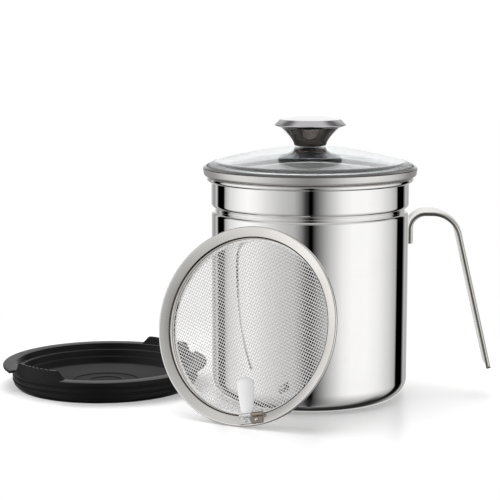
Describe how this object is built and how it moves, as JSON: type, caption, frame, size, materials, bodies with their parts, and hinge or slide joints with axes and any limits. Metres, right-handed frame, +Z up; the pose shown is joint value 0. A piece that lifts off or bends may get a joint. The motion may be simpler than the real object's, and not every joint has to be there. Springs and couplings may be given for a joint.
{
  "type": "bacon grease container",
  "caption": "Steel grease pot with a hooked strap handle, domed glass lid with a knob, lift-out mesh strainer with a fold-down tab, and a moulded storage lid.",
  "frame": {"origin": "centre of the pot's base, on the table", "axes": "+Z up along the pot's axis, +X towards the pot's handle, -Y towards the viewer of the picture"},
  "size_m": [0.3041, 0.1878, 0.1711],
  "materials": {
    "polished_steel": "mirror-polished stainless steel",
    "satin_steel": "satin stainless steel",
    "dark_steel": "dark polished",
    "lid_glass": "clear tempered glass with a faint blue-grey tint",
    "black_silicone": "matt black silicone",
    "brass": "machined",
    "steel_wire": "drawn wire",
    "bright_steel": "bright smooth steel",
    "black_plastic": "matt-satin black moulding"
  },
  "bodies": {
    "pot": {"pot_body": "polished_steel", "pot_handle": "satin_steel"},
    "glass_lid": {"lid_glass": "lid_glass", "lid_rim_band": "polished_steel", "knob_stem": "dark_steel", "knob_cap": "polished_steel", "knob_seal": "black_silicone", "knob_insert": "brass", "lid_gasket": "black_silicone", "retaining_cup": "polished_steel", "knob_screw": "polished_steel"},
    "strainer": {"strainer_ring": "satin_steel", "net_clamp_ring": "satin_steel", "strainer_net": "steel_wire", "tab_bracket": "satin_steel", "tab_pin": "satin_steel", "tab_rivet_left": "satin_steel", "tab_rivet_right": "satin_steel"},
    "tab": {"lift_tab": "bright_steel"},
    "storage_lid": {"storage_lid": "black_plastic"}
  },
  "joints": [
    {"name": "lid_lift", "type": "slide", "parent": "pot", "child": "glass_lid", "axis": [0, 0, 1], "range_m": [0, 0.1]},
    {"name": "strainer_lift", "type": "slide", "parent": "pot", "child": "strainer", "axis": [-0.3466, -0.6832, 0.6428], "range_m": [0, 0.12]},
    {"name": "tab_fold", "type": "hinge", "parent": "strainer", "child": "tab", "pos_m": [-0.03258, -0.08921, 0.00788], "axis": [0.8964, -0.3884, 0.2135], "range_deg": [0, 100]},
    {"name": "storage_lid_lift", "type": "slide", "parent": "pot", "child": "storage_lid", "axis": [0, 0, 1], "range_m": [0, 0.08]}
  ]
}
